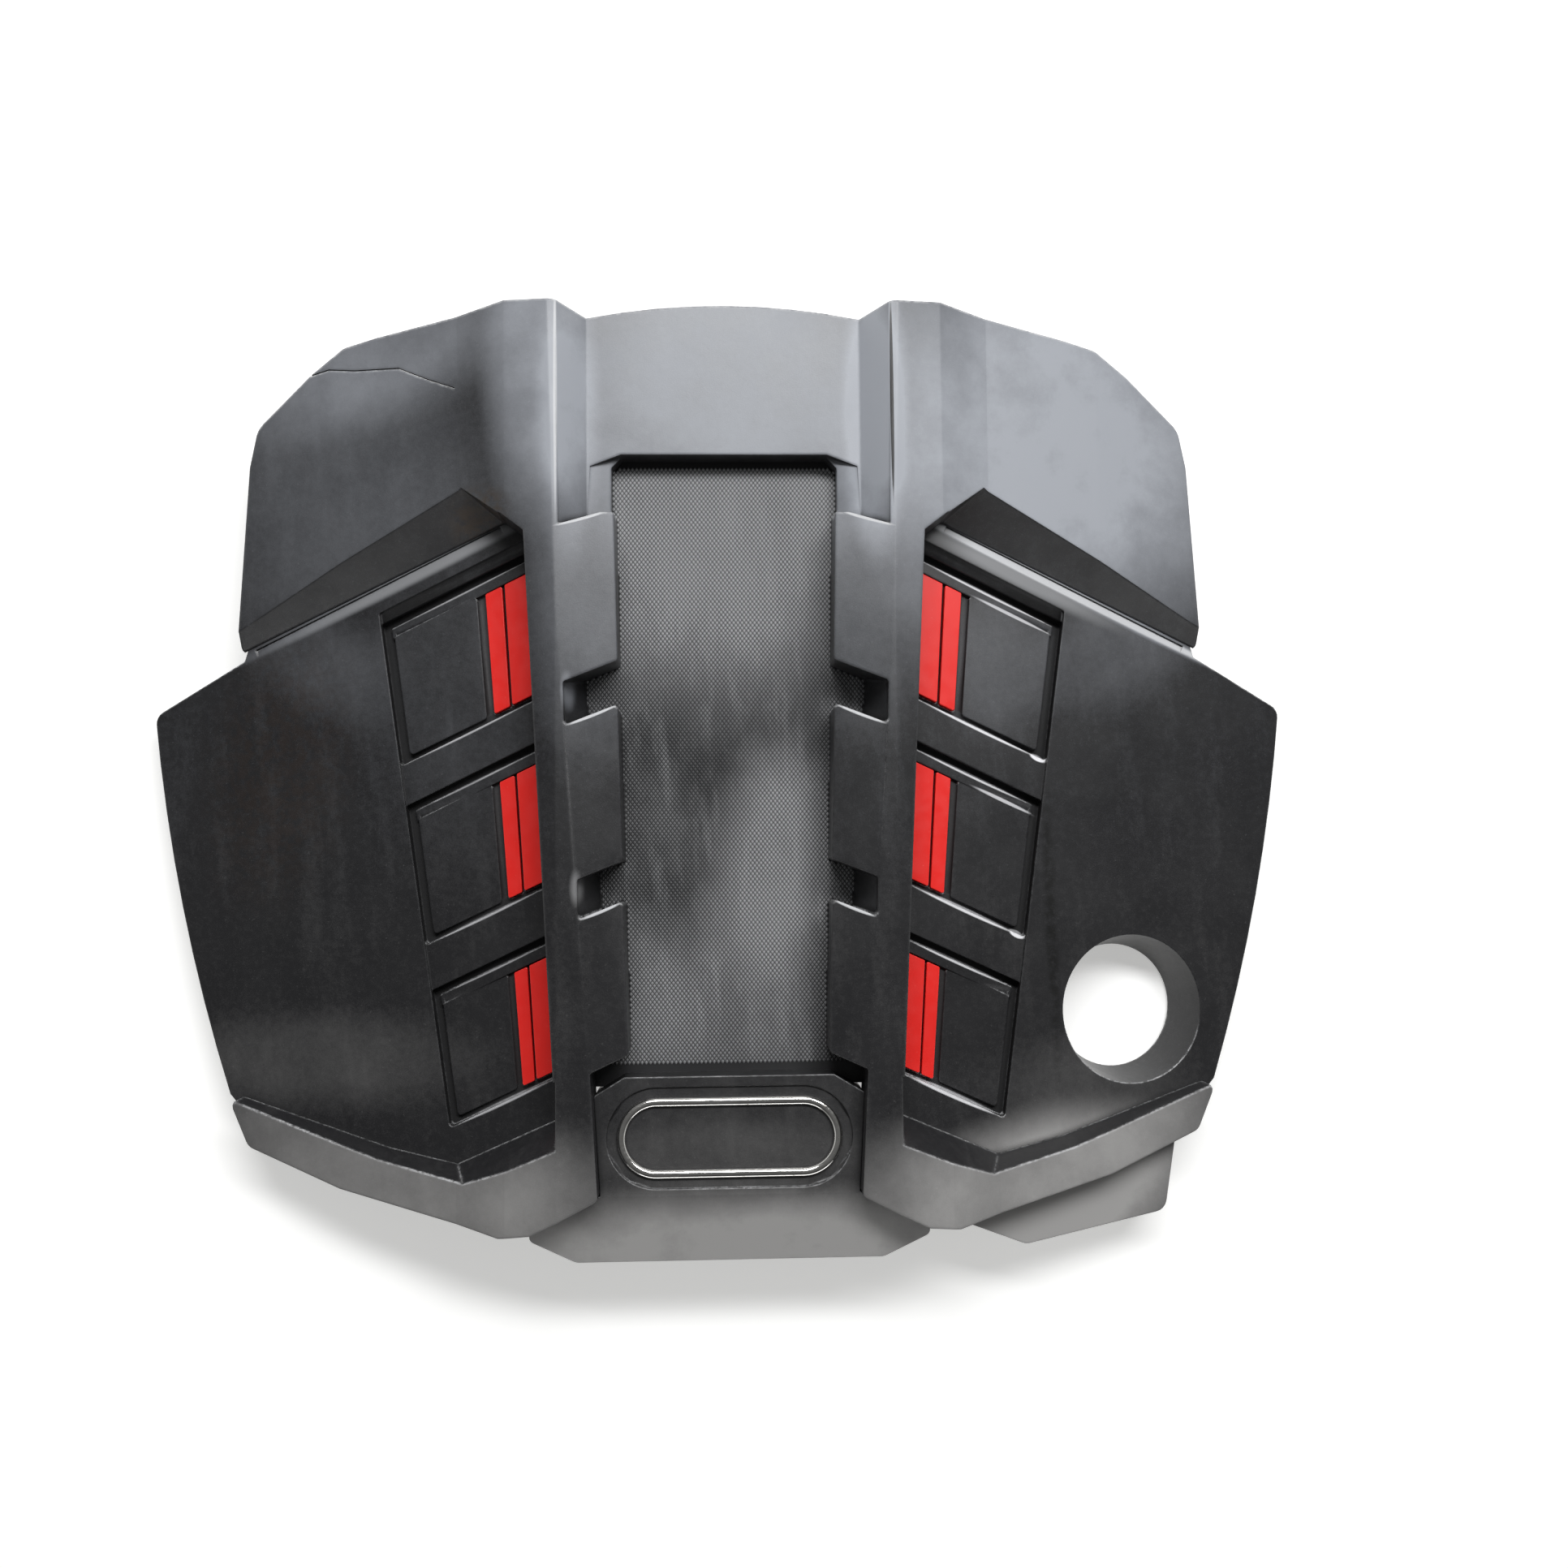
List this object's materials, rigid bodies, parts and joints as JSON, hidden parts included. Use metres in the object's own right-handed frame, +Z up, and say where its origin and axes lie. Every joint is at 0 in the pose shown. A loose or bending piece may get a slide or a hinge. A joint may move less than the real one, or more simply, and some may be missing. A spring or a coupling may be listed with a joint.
{
  "type": "engine cover",
  "caption": "Black moulded engine cover with an H-shaped frame, side wings, a grained centre panel, red bars, a plain chrome ring and an oil filler hole.",
  "frame": {"origin": "centre of the cover's outline at the level of the rims that it rests on", "axes": "+X to the car's left, +Y to the rear of the car, +Z up out of the cover's face"},
  "size_m": [0.6978, 0.5624, 0.1],
  "materials": {
    "frame": "moulded black, faint dusty sheen, worn light edges",
    "left_wing": "moulded black, fine grain",
    "right_wing": "moulded black, fine grain",
    "centre_panel": "dark grey, woven grain",
    "badge_panel": "moulded black, worn front lip",
    "badge_ring": "satin chrome plating, scuffed",
    "red_bars": "bright red, semi-gloss",
    "rubber": "black moulded rubber",
    "foam_pad": "dark sound-deadening foam"
  },
  "bodies": {
    "root": {"frame": "frame", "left_wing": "left_wing", "right_wing": "right_wing", "centre_panel": "centre_panel", "badge_panel": "badge_panel", "badge_ring": "badge_ring", "left_red_insert_1": "red_bars", "left_red_insert_2": "red_bars", "left_red_insert_3": "red_bars", "right_red_insert_1": "red_bars", "right_red_insert_2": "red_bars", "right_red_insert_3": "red_bars", "left_rear_socket": "rubber", "left_front_socket": "rubber", "right_rear_socket": "rubber", "right_front_socket": "rubber", "foam_pad": "foam_pad"}
  },
  "joints": []
}
